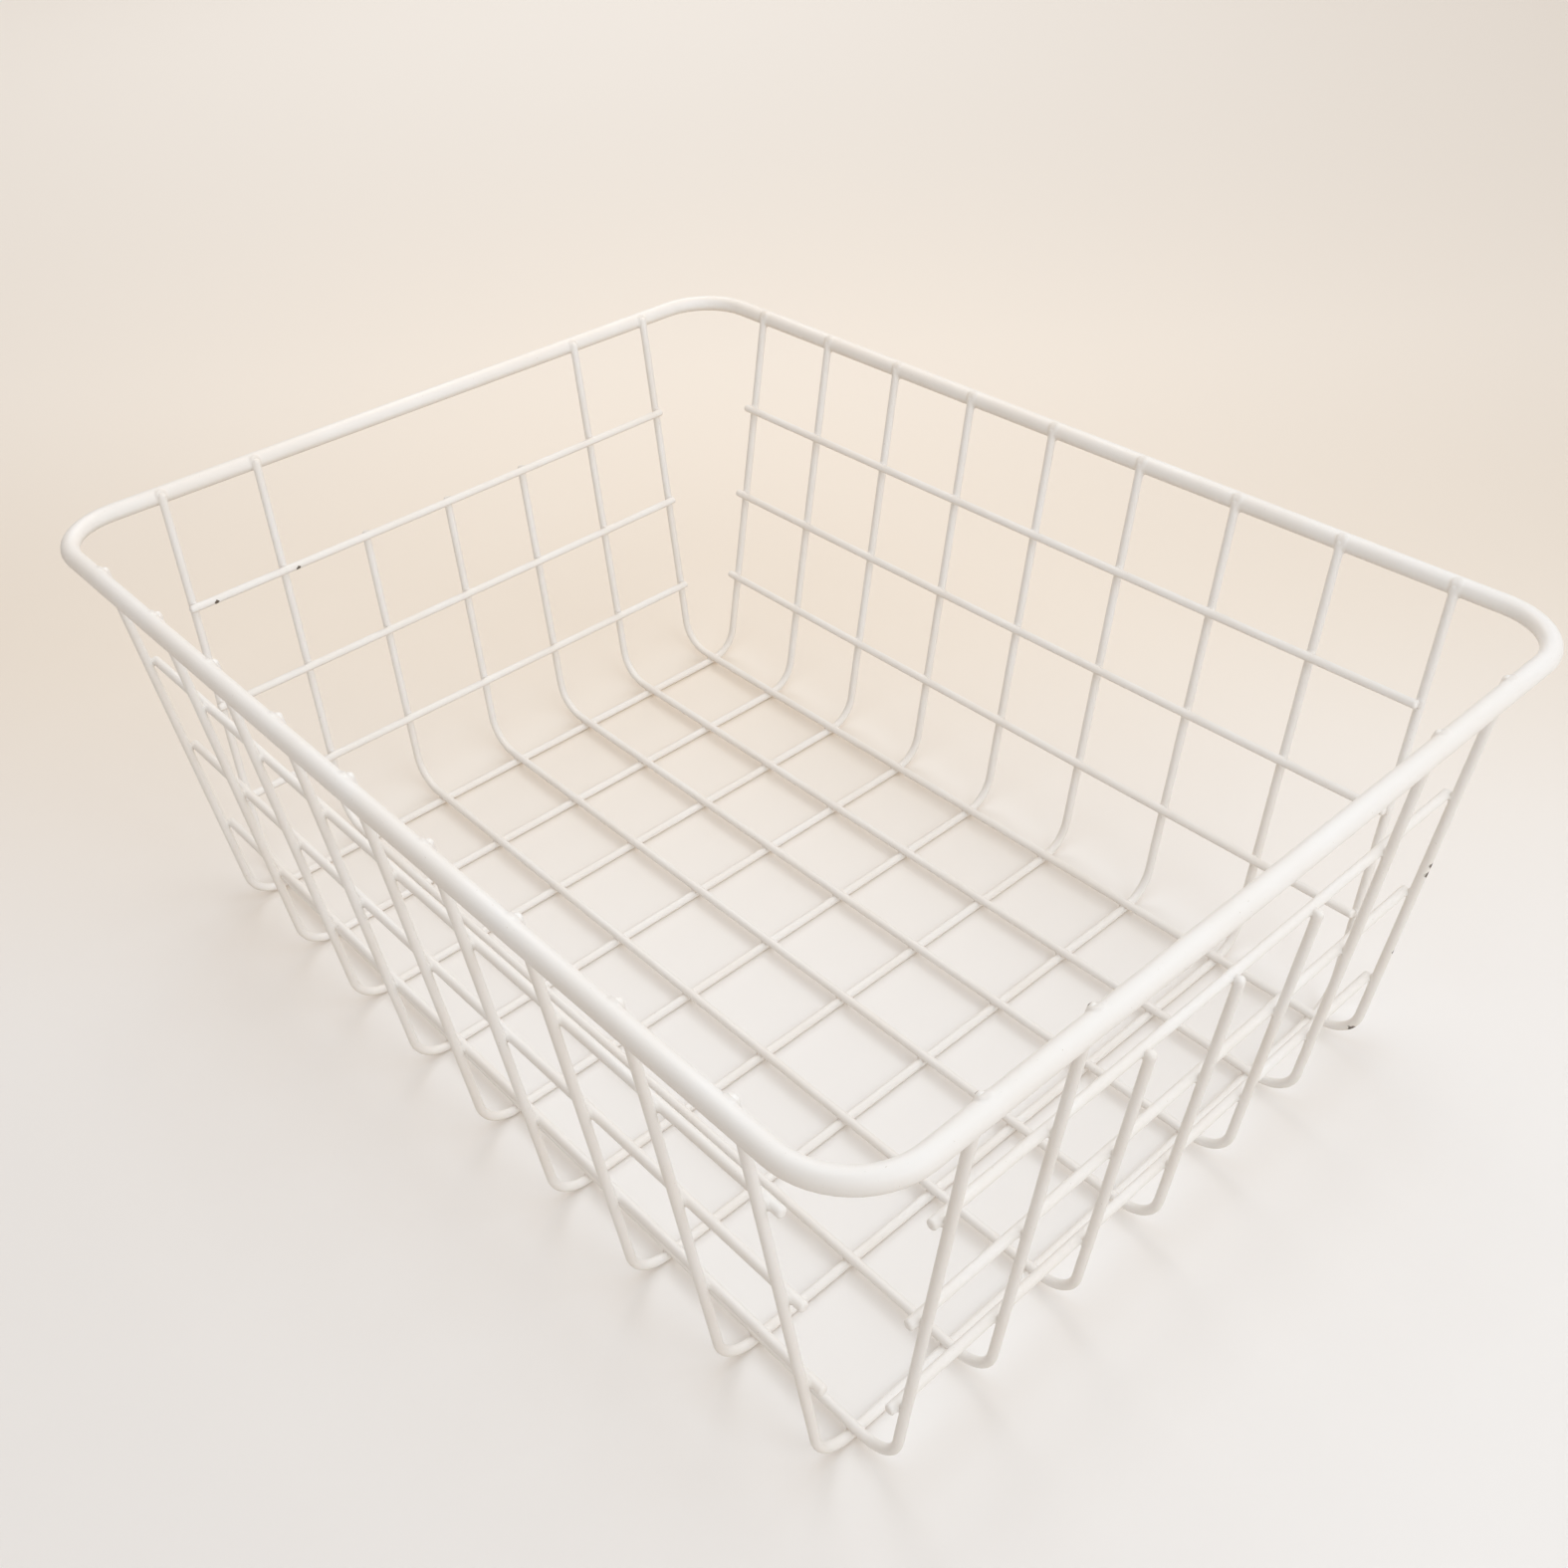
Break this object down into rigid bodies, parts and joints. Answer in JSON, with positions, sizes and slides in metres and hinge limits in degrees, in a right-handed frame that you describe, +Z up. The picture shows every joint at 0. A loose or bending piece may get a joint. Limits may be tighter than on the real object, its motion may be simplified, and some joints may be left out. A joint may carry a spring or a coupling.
{
  "type": "wire organizer basket",
  "caption": "Open rectangular storage basket of spot-welded coated steel wire, with flared walls, a thick round rim and a handhold under the rim at each end.",
  "frame": {"origin": "on the floor under the middle of the basket", "axes": "+X along the long walls, +Y across towards the back wall, +Z up out of the open top"},
  "size_m": [0.385, 0.301, 0.1575],
  "materials": {
    "powder_coat": "satin warm white powder coat over steel rod"
  },
  "bodies": {
    "root": {"rim": "powder_coat", "cross_wire_1": "powder_coat", "cross_wire_2": "powder_coat", "cross_wire_3": "powder_coat", "cross_wire_4": "powder_coat", "cross_wire_5": "powder_coat", "cross_wire_6": "powder_coat", "cross_wire_7": "powder_coat", "cross_wire_8": "powder_coat", "cross_wire_9": "powder_coat", "long_wire_1": "powder_coat", "long_wire_2": "powder_coat", "long_wire_3": "powder_coat", "long_wire_4": "powder_coat", "long_wire_5": "powder_coat", "long_wire_6": "powder_coat", "long_wire_7": "powder_coat", "front_rail_low": "powder_coat", "front_rail_middle": "powder_coat", "front_rail_high": "powder_coat", "back_rail_low": "powder_coat", "back_rail_middle": "powder_coat", "back_rail_high": "powder_coat", "left_rail_low": "powder_coat", "left_rail_middle": "powder_coat", "left_rail_high": "powder_coat", "right_rail_low": "powder_coat", "right_rail_middle": "powder_coat", "right_rail_high": "powder_coat"}
  },
  "joints": []
}
